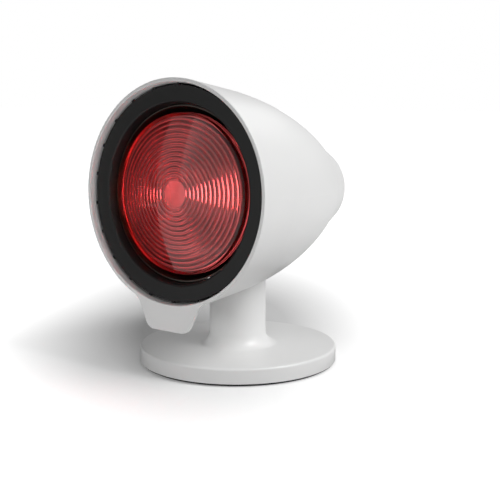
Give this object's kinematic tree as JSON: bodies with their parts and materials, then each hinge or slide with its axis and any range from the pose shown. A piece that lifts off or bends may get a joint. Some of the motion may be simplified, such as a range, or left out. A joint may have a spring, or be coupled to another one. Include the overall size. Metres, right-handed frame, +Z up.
{
  "type": "infrared heat lamp",
  "caption": "Infrared heat lamp: a white bell-shaped head with a red reflector bulb in a black ring, tilting on a round column and weighted base.",
  "frame": {"origin": "middle of the underside of the base, on the table", "axes": "+Z up, the lamp faces -Y, +X is to its left as it faces"},
  "size_m": [0.1698, 0.2035, 0.2272],
  "materials": {
    "white_moulding": "satin",
    "white_shell": "satin",
    "white_cap": "satin",
    "black_ring": "matte",
    "red_glass": "gloss",
    "coated_glass": "gloss",
    "cap_metal": "satin",
    "insulator_glass": "gloss",
    "shield_metal": "satin",
    "plate_steel": "satin",
    "screw_steel": "satin",
    "porcelain": "satin",
    "contact_brass": "satin",
    "weight_iron": "matte",
    "plate_black": "matte",
    "pad_rubber": "matte",
    "bush_rubber": "matte",
    "block_plastic": "matte",
    "lead_sheath": "matte",
    "disc_fibre": "matte"
  },
  "bodies": {
    "stand": {"base_moulding": "white_moulding", "column": "white_moulding", "ballast": "weight_iron", "base_plate": "plate_black", "base_screws": "screw_steel", "foot_pad": "pad_rubber", "cord_bush": "bush_rubber", "terminal_block": "block_plastic", "terminal_screws": "contact_brass", "column_lead": "lead_sheath"},
    "head": {"lamp_shell": "white_shell", "rear_wall": "white_shell", "shade_ring": "black_ring", "heat_shield": "shield_metal", "shield_rivets": "shield_metal", "carrier_plate": "plate_steel", "carrier_screws": "screw_steel", "lampholder_body": "porcelain", "lampholder_sleeve": "contact_brass", "lampholder_contact": "contact_brass", "lampholder_screws": "screw_steel", "head_lead": "lead_sheath", "rear_cap": "white_cap", "cap_screws": "screw_steel", "tilt_bolt": "screw_steel", "bolt_washer": "screw_steel", "spring_washer": "screw_steel", "tilt_nut": "screw_steel", "friction_discs": "disc_fibre"},
    "bulb": {"bulb_lens": "red_glass", "bulb_reflector": "coated_glass", "bulb_cap": "cap_metal", "bulb_insulator": "insulator_glass", "bulb_contact": "cap_metal"}
  },
  "joints": [
    {"name": "head_tilt", "type": "hinge", "parent": "stand", "child": "head", "pos_m": [0, 0, 0.0862], "axis": [-1, 0, 0], "range_deg": [-5, 35]},
    {"name": "bulb_slide", "type": "slide", "parent": "head", "child": "bulb", "axis": [0, -0.9987, 0.0506], "range_m": [0, 0.15]}
  ]
}
